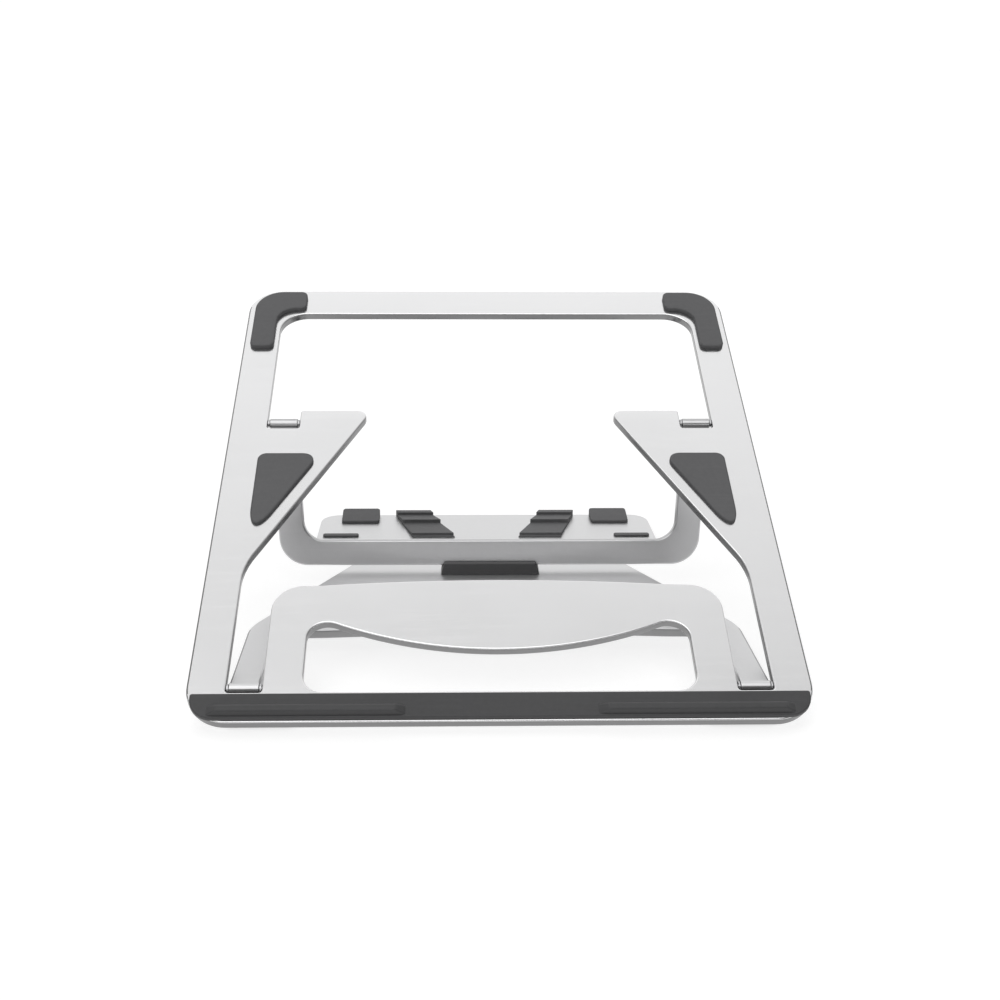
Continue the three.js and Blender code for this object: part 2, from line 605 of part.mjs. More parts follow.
// A notched block: each tread falls to the rear and ends at a riser, and the block splays outward.
function buildStepBlocks(base) {
  const lowZ = HALF_PLATE + SEAT_GAP;
  const profile = [[STEP_START, lowZ]];
  let y = STEP_START;
  STEP_NOTCHES.forEach(([length, frontHeight, rearHeight]) => {
    profile.push([y, lowZ + frontHeight]);
    y += length;
    profile.push([y, lowZ + rearHeight]);
  });
  profile.push([y, lowZ]);
  SIDES.forEach(([sideName, side]) => {
    const [start, end] = sideRange(side, STEP_INNER_START, STEP_INNER_START + STEP_WIDTH);
    const block = prismAlongX(profile, start, end);
    const position = block.attributes.position;
    for (let i = 0; i < position.count; i += 1) {
      const outward = (Math.abs(position.getX(i)) - STEP_INNER_START) / STEP_WIDTH;
      const splay = THREE.MathUtils.lerp(STEP_INNER_SPLAY, STEP_OUTER_SPLAY, outward);
      position.setX(i, position.getX(i) + side * splay * (position.getY(i) - STEP_START));
    }
    addPiece(base, `step_block_${sideName}`, block, rubber);
  });
}

function buildBasePads(base) {
  const lowZ = HALF_PLATE + SEAT_GAP;
  const restRear = HEAD_REAR - REST_PAD_REAR_MARGIN;
  const restFront = restRear - REST_PAD_LENGTH;
  const restProfile = [
    [restFront, lowZ],
    [restRear, lowZ],
    [restRear, lowZ + REST_PAD_REAR_HEIGHT - RUBBER_BEVEL],
    [restRear - RUBBER_BEVEL, lowZ + REST_PAD_REAR_HEIGHT],
    [restFront + RUBBER_BEVEL, lowZ + REST_PAD_FRONT_HEIGHT],
    [restFront, lowZ + REST_PAD_FRONT_HEIGHT - RUBBER_BEVEL],
  ];
  SIDES.forEach(([sideName, side]) => {
    const restHalf = REST_PAD_WIDTH / 2;
    const restRange = sideRange(side, REST_PAD_CENTRE - restHalf, REST_PAD_CENTRE + restHalf);
    addPiece(base, `rest_pad_${sideName}`, prismAlongX(restProfile, ...restRange), rubber);
    const guide = plateGeometry(
      roundedOutline(
        [
          [-GUIDE_STRIP_WIDTH / 2, -GUIDE_STRIP_LENGTH / 2, GUIDE_STRIP_LENGTH / 3],
          [GUIDE_STRIP_WIDTH / 2, -GUIDE_STRIP_LENGTH / 2, GUIDE_STRIP_LENGTH / 3],
          [GUIDE_STRIP_WIDTH / 2, GUIDE_STRIP_LENGTH / 2, GUIDE_STRIP_LENGTH / 3],
          [-GUIDE_STRIP_WIDTH / 2, GUIDE_STRIP_LENGTH / 2, GUIDE_STRIP_LENGTH / 3],
        ],
      ),
      [],
      GUIDE_STRIP_HEIGHT,
      RUBBER_BEVEL / 2,
    );
    const guideY = GUIDE_STRIP_START + GUIDE_STRIP_LENGTH / 2;
    guide.translate(side * GUIDE_STRIP_CENTRE, guideY, lowZ + GUIDE_STRIP_HEIGHT / 2);
    addPiece(base, `guide_strip_${sideName}`, guide, rubber);
  });
}

// Rear feet hang under the base's head; their soles are cut level with the desk.
function buildRearFeet(base) {
  const topZ = -HALF_PLATE - SEAT_GAP;
  const soleZ = (y) => (y * sine(BASE_SLOPE) - FRONT_HINGE_HEIGHT) / cosine(BASE_SLOPE);
  const front = REAR_FOOT_PLACE - REAR_FOOT_LENGTH / 2;
  const rear = REAR_FOOT_PLACE + REAR_FOOT_LENGTH / 2;
  const profile = [
    [front, topZ],
    [front + RUBBER_BEVEL, soleZ(front + RUBBER_BEVEL)],
    [rear - RUBBER_BEVEL, soleZ(rear - RUBBER_BEVEL)],
    [rear, topZ],
  ];
  SIDES.forEach(([sideName, side]) => {
    const half = REAR_FOOT_WIDTH / 2;
    const range = sideRange(side, REAR_FOOT_CENTRE - half, REAR_FOOT_CENTRE + half);
    addPiece(base, `rear_foot_${sideName}`, prismAlongX(profile, ...range), rubber);
  });
}

// ---- Leg ----------------------------------------------------------------------------

function buildLeg(leg) {
  const innerSide = [LEG_INNER_FOOT_HALF_WIDTH, LEG_LENGTH - LEG_BAR_HEIGHT, LEG_INNER_RADIUS];
  const rightSide = [
    innerSide,
    [LEG_BARREL_INNER, 0],
    [LEG_BARREL_OUTER, 0],
    [LEG_FOOT_HALF_WIDTH, LEG_LENGTH, LEG_OUTER_RADIUS],
  ];
  const outline = roundedOutline([...rightSide, ...mirrored(rightSide)]);
  const plate = plateGeometry(outline, [], PLATE_THICKNESS, EDGE_CHAMFER);
  const barrels = [];
  const bores = [];
  SIDES.forEach(([, side]) => {
    const [start, end] = sideRange(side, LEG_BARREL_INNER, LEG_BARREL_OUTER);
    barrels.push(rodAlongX(BARREL_RADIUS, start, end, 0, 0, BARREL_SIDES));
    bores.push(rodAlongX(PIN_RADIUS + PIN_CLEARANCE, start - 1, end + 1, 0, 0, PIN_SIDES));
  });
  addPiece(leg, 'support_leg', cut(joined([plate, ...barrels]), bores), legAluminium);
}

// Front feet: half-round beads under the front rail, in the stand's own upright frame.
function buildFrontFeet(stand) {
  const along = FRONT_FOOT_INSET - FRONT_HINGE_DEPTH;
  const below = -HALF_PLATE - SEAT_GAP;
  const centreY = along * cosine(PLATFORM_TILT) - below * sine(PLATFORM_TILT);
  const centreZ = FRONT_HINGE_HEIGHT + along * sine(PLATFORM_TILT) + below * cosine(PLATFORM_TILT);
  const start = Math.PI + radians(PLATFORM_TILT);
  const end = start + Math.PI;
  const steps = 2 * ARC_STEPS_PER_QUARTER;
  const arc = arcPoints(centreY, centreZ, FRONT_FOOT_RADIUS, start, end, steps);
  const profile = arc.map(([y, z]) => [y, Math.max(z, 0)]);
  SIDES.forEach(([sideName, side]) => {
    const half = FRONT_FOOT_LENGTH / 2;
    const range = sideRange(side, FRONT_FOOT_CENTRE - half, FRONT_FOOT_CENTRE + half);
    addPiece(stand, `front_foot_${sideName}`, prismAlongX(profile, ...range), rubber);
  });
}

// ---- Assembly -----------------------------------------------------------------------

const stand = new THREE.Group();
const platform = new THREE.Group();
platform.position.set(0, 0, FRONT_HINGE_HEIGHT);
platform.rotation.x = radians(PLATFORM_TILT);
const base = new THREE.Group();
base.position.set(0, 0, FRONT_HINGE_HEIGHT);
base.rotation.x = -radians(BASE_SLOPE);
const leg = new THREE.Group();
leg.position.set(0, HINGE_SPAN, 0);
leg.rotation.x = -radians(LEG_ANGLE);
platform.add(leg);
stand.add(platform, base);

buildPlatform(platform);
buildHinges(platform);
buildStopStrip(platform);
buildPlatformPads(platform);
buildBase(base);
buildStopBar(base);
buildStepBlocks(base);
buildBasePads(base);
buildRearFeet(base);
buildLeg(leg);
buildFrontFeet(stand);

// Stand on z = 0 with the origin under the middle of the whole stand.
const box = new THREE.Box3().setFromObject(stand, true);
const middle = box.getCenter(new THREE.Vector3());
stand.position.set(-middle.x, -middle.y, -box.min.z);

export default stand;
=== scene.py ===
"""A folding laptop stand of three nesting aluminium plates with rubber pads and a rubber rack."""

import json
import logging
import math
from dataclasses import dataclass, field
from enum import Enum

import bmesh
import bpy
from mathutils import Matrix, Vector

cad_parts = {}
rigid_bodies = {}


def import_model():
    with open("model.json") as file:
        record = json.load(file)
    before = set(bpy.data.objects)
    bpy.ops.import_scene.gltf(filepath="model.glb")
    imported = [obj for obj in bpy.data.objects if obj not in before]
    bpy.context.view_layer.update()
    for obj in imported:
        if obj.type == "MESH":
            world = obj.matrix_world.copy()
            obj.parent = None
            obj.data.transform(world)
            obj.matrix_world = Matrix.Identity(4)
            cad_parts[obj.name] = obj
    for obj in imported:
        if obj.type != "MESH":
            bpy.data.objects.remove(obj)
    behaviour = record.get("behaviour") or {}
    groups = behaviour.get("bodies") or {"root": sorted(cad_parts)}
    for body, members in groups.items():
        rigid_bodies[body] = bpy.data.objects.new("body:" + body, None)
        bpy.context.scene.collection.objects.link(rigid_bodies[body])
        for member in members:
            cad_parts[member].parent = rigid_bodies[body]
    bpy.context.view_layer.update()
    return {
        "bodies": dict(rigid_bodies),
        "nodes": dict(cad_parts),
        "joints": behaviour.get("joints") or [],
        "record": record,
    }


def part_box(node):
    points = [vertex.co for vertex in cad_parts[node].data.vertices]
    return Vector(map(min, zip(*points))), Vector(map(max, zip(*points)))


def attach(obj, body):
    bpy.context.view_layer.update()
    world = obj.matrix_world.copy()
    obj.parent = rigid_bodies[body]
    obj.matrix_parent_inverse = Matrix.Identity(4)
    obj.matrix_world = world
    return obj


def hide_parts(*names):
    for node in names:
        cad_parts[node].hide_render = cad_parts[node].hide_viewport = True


log = logging.getLogger("laptop_stand")
MM = 0.001
ARC_SEGMENTS = 14
EDGE_SEGMENTS = 3
SHARP_ANGLE = math.radians(42.0)
BARREL_SEGMENTS = 40
BARREL_ROUNDING = 0.25
CROWN_SEGMENTS = 24
SAME_LEVEL = 1e-6
PLATE_RIM_TURN = 0.5
BARREL_RIM_TURN = 1.0
SEAT_GAP = 0.1
ABOVE_SEAT = 1e-4
# Face layer that flags steep side faces and outer rim faces for painted shade: the material darkens
# their colour.
EDGE_SHADE_LAYER = "painted_edge_shade"
SHADE_STEEPNESS = 0.5
OUTER_RIM_BAND = 1.0
OUTER_RIM_TURN = 0.2
COARSE_GRAIN_RATIO = 7.0
RUB_STRETCH = (0.35, 6.0, 6.0)
RUB_RANGE = (0.52, 0.78)
RUB_SHARE = 0.5
SIDES = {"left": -1.0, "right": 1.0}
Corner = tuple[float, float, float]
Point = tuple[float, float]


# ---- Shaping helpers ----------------------------------------------------------------


def arc(centre: Point, radius: float, start: float, end: float, steps: int) -> list[Corner]:
    """Points on an arc, as sharp corners of an outline.

    Args:
        centre: Centre of the arc in mm.
        radius: Radius in mm.
        start: First angle in degrees.
        end: Last angle in degrees.
        steps: Number of chords.

    Returns:
        The corners, ends included.
    """
    angles = [math.radians(start + (end - start) * i / steps) for i in range(steps + 1)]
    x, y = centre
    return [(x + radius * math.cos(a), y + radius * math.sin(a), 0.0) for a in angles]


def mirrored(corners: list[Corner]) -> list[Corner]:
    """The same corners on the other side of the middle plane, in reverse order."""
    return [(-x, y, radius) for x, y, radius in reversed(corners)]


def on_side(side: float, corners: list[Corner]) -> list[Corner]:
    """The corners of a right-hand piece, or mirrored for the left-hand one."""
    return corners if side > 0 else mirrored(corners)


def rounded_loop(corners: list[Corner]) -> list[Vector]:
    """Rounds the corners of a flat outline.

    Args:
        corners: Places and radii in mm; a radius of 0 stays sharp.

    Returns:
        The points of the closed outline in order.
    """
    work = bmesh.new()
    verts = [work.verts.new((x, y, 0.0)) for x, y, _ in corners]
    work.faces.new(verts)
    count = len(corners)
    for index, (vert, (_, _, radius)) in enumerate(zip(verts, corners)):
        if radius <= 0.0:
            continue
        here = Vector(corners[index][:2])
        before = Vector(corners[index - 1][:2]) - here
        after = Vector(corners[(index + 1) % count][:2]) - here
        half = before.angle(after) / 2
        turn = (math.pi - 2 * half) / (math.pi / 2)
        bmesh.ops.bevel(
            work,
            geom=[vert],
            offset=radius / math.tan(half),
            offset_type="ABSOLUTE",
            segments=max(3, round(ARC_SEGMENTS * turn)),
            profile=0.5,
            affect="VERTICES",
            clamp_overlap=False,
            material=-1,
        )
    work.faces.ensure_lookup_table()
    points = [loop.vert.co.copy() for loop in work.faces[0].loops]
    work.free()
    return points


def rim_edges(
    bm: bmesh.types.BMesh, low: float, high: float, both: bool
) -> list[bmesh.types.BMEdge]:
    """Finds the edges round the top face, and round the bottom face too if asked.

    Args:
        bm: The mesh of a flat plate.
        low: Height of the underside in mm.
        high: Height of the top in mm.
        both: Whether the lower edges count too.

    Returns:
        The rim edges.
    """
    levels = (low, high) if both else (high,)
    rims = []
    for edge in bm.edges:
        level = edge.verts[0].co.z
        flat = abs(level - edge.verts[1].co.z) < SAME_LEVEL
        on_level = min(abs(level - z) for z in levels) < SAME_LEVEL
        if flat and on_level and edge.calc_face_angle(0.0) > PLATE_RIM_TURN:
            rims.append(edge)
    return rims


def round_edges(bm: bmesh.types.BMesh, edges: list[bmesh.types.BMEdge], radius: float) -> None:
    """Rounds edges of a mesh.

    Args:
        bm: The mesh.
        edges: The edges to round.
        radius: Radius of the rounding in mm.
    """
    bmesh.ops.bevel(
        bm,
        geom=edges,
        offset=radius,
        offset_type="OFFSET",
        segments=EDGE_SEGMENTS,
        profile=0.5,
        affect="EDGES",
        clamp_overlap=False,
        material=-1,
    )


def add_plate(
    bm: bmesh.types.BMesh,
    outlines: list[list[Corner]],
    low: float,
    high: float,
    radius: float,
    both: bool = True,
) -> None:
    """Adds a flat plate with holes and rounded edges.

    Args:
        bm: The mesh that takes the plate.
        outlines: The outer outline and then each hole.
        low: Height of the underside in mm.
        high: Height of the top in mm.
        radius: Radius of the rounded edges in mm.
        both: Whether the lower edges are rounded too.
    """
    part = bmesh.new()
    edges = []
    for corners in outlines:
        verts = [part.verts.new((p.x, p.y, low)) for p in rounded_loop(corners)]
        edges += [part.edges.new(pair) for pair in zip(verts, verts[1:] + verts[:1])]
    bmesh.ops.triangle_fill(part, use_beauty=True, edges=edges)
    grown = bmesh.ops.extrude_face_region(part, geom=part.faces[:])
    top = [item for item in grown["geom"] if isinstance(item, bmesh.types.BMVert)]
    bmesh.ops.translate(part, verts=top, vec=(0.0, 0.0, high - low))
    bmesh.ops.recalc_face_normals(part, faces=part.faces[:])
    round_edges(part, rim_edges(part, low, high, both), radius)
    join_into(bm, part)


def add_prism(
    bm: bmesh.types.BMesh, profile: list[Point], start: float, end: float, radius: float
) -> None:
    """Adds a bar along X from a profile in the Y-Z plane, with rounded edges.

    Args:
        bm: The mesh that takes the bar.
        profile: Corners (y, z) in mm.
        start: First x in mm.
        end: Last x in mm.
        radius: Radius of its rounded edges in mm.
    """
    part = bmesh.new()
    face = part.faces.new([part.verts.new((start, y, z)) for y, z in profile])
    grown = bmesh.ops.extrude_face_region(part, geom=[face])
    far = [item for item in grown["geom"] if isinstance(item, bmesh.types.BMVert)]
    bmesh.ops.translate(part, verts=far, vec=(end - start, 0.0, 0.0))
    bmesh.ops.recalc_face_normals(part, faces=part.faces[:])
    lowest = min(z for _, z in profile)
    upper = [e for e in part.edges if max(v.co.z for v in e.verts) > lowest + SAME_LEVEL]
    round_edges(part, upper, radius)
    join_into(bm, part)


def add_barrel(bm: bmesh.types.BMesh, radius: float, start: float, end: float) -> None:
    """Adds a round hinge barrel along X through the origin.

    Args:
        bm: The mesh that takes the barrel.
        radius: Radius of the barrel in mm.
        start: First x in mm.
        end: Last x in mm.
    """
    turn = Matrix.Translation(((start + end) / 2, 0.0, 0.0)) @ Matrix.Rotation(math.pi / 2, 4, "Y")
    part = bmesh.new()
    bmesh.ops.create_cone(
        part,
        cap_ends=True,
        segments=BARREL_SEGMENTS,
        radius1=radius,
        radius2=radius,
        depth=abs(end - start),
        matrix=turn,
    )
    rims = [e for e in part.edges if e.calc_face_angle(0.0) > BARREL_RIM_TURN]
    round_edges(part, rims, BARREL_ROUNDING)
    join_into(bm, part)


def join_into(bm: bmesh.types.BMesh, part: bmesh.types.BMesh) -> None:
    """Moves one mesh into another.

    Args:
        bm: The mesh that takes the part.
        part: The mesh to move; it is freed.
    """
    carrier = bpy.data.meshes.new("carrier")
    part.to_mesh(carrier)
    part.free()
    bm.from_mesh(carrier)
    bpy.data.meshes.remove(carrier)


def cross_range(side: float, low: float, high: float) -> Point:
    """The x-range of a piece on one side, from its right-hand range."""
    return (low, high) if side > 0 else (-high, -low)


# ---- Finishes -----------------------------------------------------------------------


class Nodes:
    """A short way to add and join shader nodes."""

    def __init__(self, tree: bpy.types.NodeTree) -> None:
        """Keeps the tree that the nodes go into."""
        self.tree = tree

    def add(self, kind: str, **values: object) -> bpy.types.Node:
        """Adds a node and sets its properties, or its inputs by name.

        Args:
            kind: Type name of the node.
            **values: A property of the node, or an input's name with _ for a space.

        Returns:
            The new node.
        """
        node = self.tree.nodes.new(kind)
        for name, value in values.items():
            socket = name.replace("_", " ")
            if hasattr(node, name):
                setattr(node, name, value)
            else:
                node.inputs[socket].default_value = value
        return node

    def link(self, source: bpy.types.NodeSocket, target: bpy.types.NodeSocket) -> None:
        """Joins an output to an input."""
        self.tree.links.new(source, target)


def new_group(
    name: str, inputs: dict[str, float], outputs: list[tuple[str, str]]
) -> bpy.types.NodeTree:
    """Makes an empty node group with a vector input Place.

    Args:
        name: Name of the group.
        inputs: Names of the number inputs and their usual values.
        outputs: Names and socket types of the outputs.

    Returns:
        The new group.
    """
    group = bpy.data.node_groups.new(name, "ShaderNodeTree")
    face = group.interface
    face.new_socket("Place", in_out="INPUT", socket_type="NodeSocketVector")
    for label, value in inputs.items():
        socket = face.new_socket(label, in_out="INPUT", socket_type="NodeSocketFloat")
        socket.default_value = value
    for label, kind in outputs:
        face.new_socket(label, in_out="OUTPUT", socket_type=kind)
    return group


def grain_group() -> bpy.types.NodeTree:
    """Fine surface grain: a height for bump and a mask for colour.

    Returns:
        The group, with inputs Place, Scale and Softness.
    """
    outputs = [("Height", "NodeSocketFloat"), ("Mask", "NodeSocketFloat")]
    group = new_group("fine_grain", {"Scale": 2600.0, "Softness": 0.5}, outputs)
    nodes = Nodes(group)
    start = nodes.add("NodeGroupInput")
    end = nodes.add("NodeGroupOutput")
    fine = nodes.add("ShaderNodeTexNoise", Detail=3.0, Roughness=0.6)
    coarse = nodes.add("ShaderNodeTexNoise", Detail=4.0, Roughness=0.65)
    wider = nodes.add("ShaderNodeMath", operation="DIVIDE")
    wider.inputs[1].default_value = COARSE_GRAIN_RATIO
    mix = nodes.add("ShaderNodeMix", data_type="FLOAT")
    nodes.link(start.outputs["Place"], fine.inputs["Vector"])
    nodes.link(start.outputs["Place"], coarse.inputs["Vector"])
    nodes.link(start.outputs["Scale"], fine.inputs["Scale"])
    nodes.link(start.outputs["Scale"], wider.inputs[0])
    nodes.link(wider.outputs[0], coarse.inputs["Scale"])
    nodes.link(start.outputs["Softness"], mix.inputs[0])
    nodes.link(fine.outputs["Fac"], mix.inputs[2])
    nodes.link(coarse.outputs["Fac"], mix.inputs[3])
    nodes.link(mix.outputs[0], end.inputs["Height"])
    nodes.link(coarse.outputs["Fac"], end.inputs["Mask"])
    return group


def handling_group() -> bpy.types.NodeTree:
    """Faint marks of handling: broad cloudy patches and a few hairline rubs.

    Returns:
        The group, with inputs Place, Patch Scale and Rub Scale.
    """
    scales = {"Patch Scale": 18.0, "Rub Scale": 60.0}
    group = new_group("handling_marks", scales, [("Mask", "NodeSocketFloat")])
    nodes = Nodes(group)
    start = nodes.add("NodeGroupInput")
    end = nodes.add("NodeGroupOutput")
    patches = nodes.add("ShaderNodeTexNoise", Detail=3.0, Roughness=0.5)
    stretch = nodes.add("ShaderNodeVectorMath", operation="MULTIPLY")
    stretch.inputs[1].default_value = RUB_STRETCH
    rubs = nodes.add("ShaderNodeTexNoise", Detail=5.0, Roughness=0.7)
    ramp = nodes.add("ShaderNodeMapRange", From_Min=RUB_RANGE[0], From_Max=RUB_RANGE[1])
    total = nodes.add("ShaderNodeMath", operation="MULTIPLY_ADD")
    total.inputs[1].default_value = RUB_SHARE
    nodes.link(start.outputs["Place"], patches.inputs["Vector"])
    nodes.link(start.outputs["Patch Scale"], patches.inputs["Scale"])
    nodes.link(start.outputs["Place"], stretch.inputs[0])
    nodes.link(stretch.outputs[0], rubs.inputs["Vector"])
    nodes.link(start.outputs["Rub Scale"], rubs.inputs["Scale"])
    nodes.link(rubs.outputs["Fac"], ramp.inputs["Value"])
    nodes.link(ramp.outputs["Result"], total.inputs[0])
    nodes.link(patches.outputs["Fac"], total.inputs[2])
    nodes.link(total.outputs[0], end.inputs["Mask"])
    return group


@dataclass(frozen=True)
class Finish:
    """A surface finish with grain and handling marks; flagged steep sides and outer rims get
    painted shade, their colour multiplied by a darkening tint.
    """

    name: str
    dark: tuple[float, float, float]
    light: tuple[float, float, float]
    metallic: float
    rough_low: float
    rough_high: float
    grain_scale: float
    grain_depth_mm: float
    specular: float = 0.5
    edge_shade_tint: float = 1.0
    grain_share: float = 0.6
    bump_strength: float = 0.35

    def make(self, grain: bpy.types.NodeTree, marks: bpy.types.NodeTree) -> bpy.types.Material:
        """Builds the material.

        Args:
            grain: The fine grain group.
            marks: The handling marks group.

        Returns:
            The finished material.
        """
        material = bpy.data.materials.new(self.name)
        material.use_nodes = True
        tree = material.node_tree
        tree.nodes.clear()
        nodes = Nodes(tree)
        place = nodes.add("ShaderNodeTexCoord")
        fine = nodes.add("ShaderNodeGroup")
        fine.node_tree = grain
        fine.inputs["Scale"].default_value = self.grain_scale
        wear = nodes.add("ShaderNodeGroup")
        wear.node_tree = marks
        tint = nodes.add("ShaderNodeMix", data_type="RGBA")
        tint.inputs[6].default_value = (*self.dark, 1.0)
        tint.inputs[7].default_value = (*self.light, 1.0)
        blend = nodes.add("ShaderNodeMath", operation="MULTIPLY_ADD")
        blend.inputs[1].default_value = self.grain_share
        # Painted shade: faces flagged in the edge layer have their colour multiplied by the
        # finish's darkening tint.
        edge_shade = nodes.add("ShaderNodeAttribute", attribute_name=EDGE_SHADE_LAYER)
        shade = nodes.add("ShaderNodeMix", data_type="RGBA", blend_type="MULTIPLY")
        shade.inputs[7].default_value = (*([self.edge_shade_tint] * 3), 1.0)
        rough = nodes.add("ShaderNodeMapRange", To_Min=self.rough_low, To_Max=self.rough_high)
        depth = self.grain_depth_mm * MM
        bump = nodes.add("ShaderNodeBump", Strength=self.bump_strength, Distance=depth)
        shader = nodes.add("ShaderNodeBsdfPrincipled", Metallic=self.metallic)
        shader.inputs["Specular IOR Level"].default_value = self.specular
        out = nodes.add("ShaderNodeOutputMaterial")
        nodes.link(place.outputs["Object"], fine.inputs["Place"])
        nodes.link(place.outputs["Object"], wear.inputs["Place"])
        nodes.link(fine.outputs["Mask"], blend.inputs[0])
        nodes.link(wear.outputs["Mask"], blend.inputs[2])
        nodes.link(blend.outputs[0], tint.inputs[0])
        nodes.link(wear.outputs["Mask"], rough.inputs["Value"])
        nodes.link(fine.outputs["Height"], bump.inputs["Height"])
        nodes.link(edge_shade.outputs["Fac"], shade.inputs[0])
        nodes.link(tint.outputs[2], shade.inputs[6])
        nodes.link(shade.outputs[2], shader.inputs["Base Color"])
        nodes.link(rough.outputs["Result"], shader.inputs["Roughness"])
        nodes.link(bump.outputs["Normal"], shader.inputs["Normal"])
        nodes.link(shader.outputs["BSDF"], out.inputs["Surface"])
        return material


class Surface(Enum):
    """The finishes on the stand."""

    PLATFORM_PLATE = Finish(
        name="satin_platform",
        dark=(0.755, 0.755, 0.76),
        light=(0.80, 0.80, 0.805),
        metallic=1.0,
        rough_low=0.17,
        rough_high=0.25,
        grain_scale=2600.0,
        grain_depth_mm=0.02,
        edge_shade_tint=0.32,
    )
    # Painted shade: the base is the same aluminium as the platform, given a darker colour for the
    # shade it lies in.
    SHADED_BASE_PLATE = Finish(
        name="satin_base_painted_shade",
        dark=(0.64, 0.64, 0.645),
        light=(0.69, 0.69, 0.695),
        metallic=1.0,
        rough_low=0.34,
        rough_high=0.44,
        grain_scale=2600.0,
        grain_depth_mm=0.02,
        edge_shade_tint=0.45,
    )
    # Painted shade: the leg is the same aluminium as the platform, given a darker colour for the
    # shade on its camera-facing side.
    SHADED_LEG_PLATE = Finish(
        name="satin_leg_painted_shade",
        dark=(0.50, 0.50, 0.506),
        light=(0.56, 0.56, 0.566),
        metallic=1.0,
        rough_low=0.24,
        rough_high=0.34,
        grain_scale=2600.0,
        grain_depth_mm=0.02,
        edge_shade_tint=0.8,
    )
    GREY_RUBBER = Finish(
        name="grey_rubber",
        dark=(0.075, 0.075, 0.078),
        light=(0.115, 0.115, 0.118),
        metallic=0.0,
        rough_low=0.55,
        rough_high=0.78,
        grain_scale=3200.0,
        grain_depth_mm=0.05,
        specular=0.4,
        edge_shade_tint=0.8,
    )
    DARK_RUBBER = Finish(
        name="dark_rubber",
        dark=(0.035, 0.035, 0.036),
        light=(0.058, 0.058, 0.060),
        metallic=0.0,
        rough_low=0.38,
        rough_high=0.56,
        grain_scale=3200.0,
        grain_depth_mm=0.05,
        specular=0.4,
        edge_shade_tint=0.8,
    )
    PIN_STEEL = Finish(
        name="ground_steel",
        dark=(0.46, 0.46, 0.47),
        light=(0.56, 0.56, 0.57),
        metallic=1.0,
        rough_low=0.22,
        rough_high=0.36,
        grain_scale=4200.0,
        grain_depth_mm=0.01,
    )


SLOT_FINISH = {
    "aluminium": Surface.PLATFORM_PLATE,
    "leg_aluminium": Surface.SHADED_LEG_PLATE,
    "rubber": Surface.GREY_RUBBER,
    "pin_steel": Surface.PIN_STEEL,
}
NODE_FINISH = {
    "base_plate": Surface.SHADED_BASE_PLATE,
    "front_stop_strip": Surface.DARK_RUBBER,
    "leg_stop_bar": Surface.DARK_RUBBER,
}


class Workshop:
    """Holds the finishes and turns meshes into placed pieces."""

    def __init__(self) -> None:
        """Builds every finish once."""
        grain = grain_group()
        marks = handling_group()
        self.materials = {surface: surface.value.make(grain, marks) for surface in Surface}

    def piece(
        self, name: str, bm: bmesh.types.BMesh, place: Matrix, slot: str, body: str, node: str
    ) -> bpy.types.Object:
        """Places a mesh made in mm and hands it to a body.

        Args:
            name: Name of the piece.
            bm: Its mesh in mm; it is freed.
            place: Where its own frame lies in the stand's frame.
            slot: The record's material slot.
            body: The CAD body it rides on.
            node: The CAD node it stands for.

        Returns:
            The new object.
        """
        bm.normal_update()
        # Painted shade: steep side faces and outer rim faces near the widest x are flagged, so that
        # their colour is darkened.
        edge_shade = bm.faces.layers.float.new(EDGE_SHADE_LAYER)
        flank = max(abs(vert.co.x) for vert in bm.verts) - OUTER_RIM_BAND
        for face in bm.faces:
            face.smooth = True
            steep = abs(face.normal.z) < SHADE_STEEPNESS
            sideways = abs(face.normal.x) > OUTER_RIM_TURN
            outer = sideways and abs(face.calc_center_median().x) > flank
            face[edge_shade] = 1.0 if steep or outer else 0.0
        bmesh.ops.scale(bm, vec=(MM, MM, MM), verts=bm.verts[:])
        bmesh.ops.transform(bm, matrix=place, verts=bm.verts[:])
        mesh = bpy.data.meshes.new(name)
        bm.to_mesh(mesh)
        bm.free()
        mesh.set_sharp_from_angle(angle=SHARP_ANGLE)
        mesh.materials.append(self.materials[NODE_FINISH.get(node, SLOT_FINISH[slot])])
        obj = bpy.data.objects.new(name, mesh)
        bpy.context.scene.collection.objects.link(obj)
        even = obj.modifiers.new("even_shading", "WEIGHTED_NORMAL")
        even.keep_sharp = True
        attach(obj, body)
        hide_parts(node)
        log.info("%s: %d faces", name, len(mesh.polygons))
        return obj

    def dress_frame(self, frame: dict) -> None:
        """Gives the CAD nodes that stay visible the finish of their slot.

        Args:
            frame: The loaded frame, with its nodes and record.
        """
        slots = {entry["node"]: entry["material_slot"] for entry in frame["record"]["subparts"]}
        for node, obj in frame["nodes"].items():
            obj.data.materials.clear()
            obj.data.materials.append(self.materials[SLOT_FINISH[slots[node]]])


# ---- The stand ----------------------------------------------------------------------


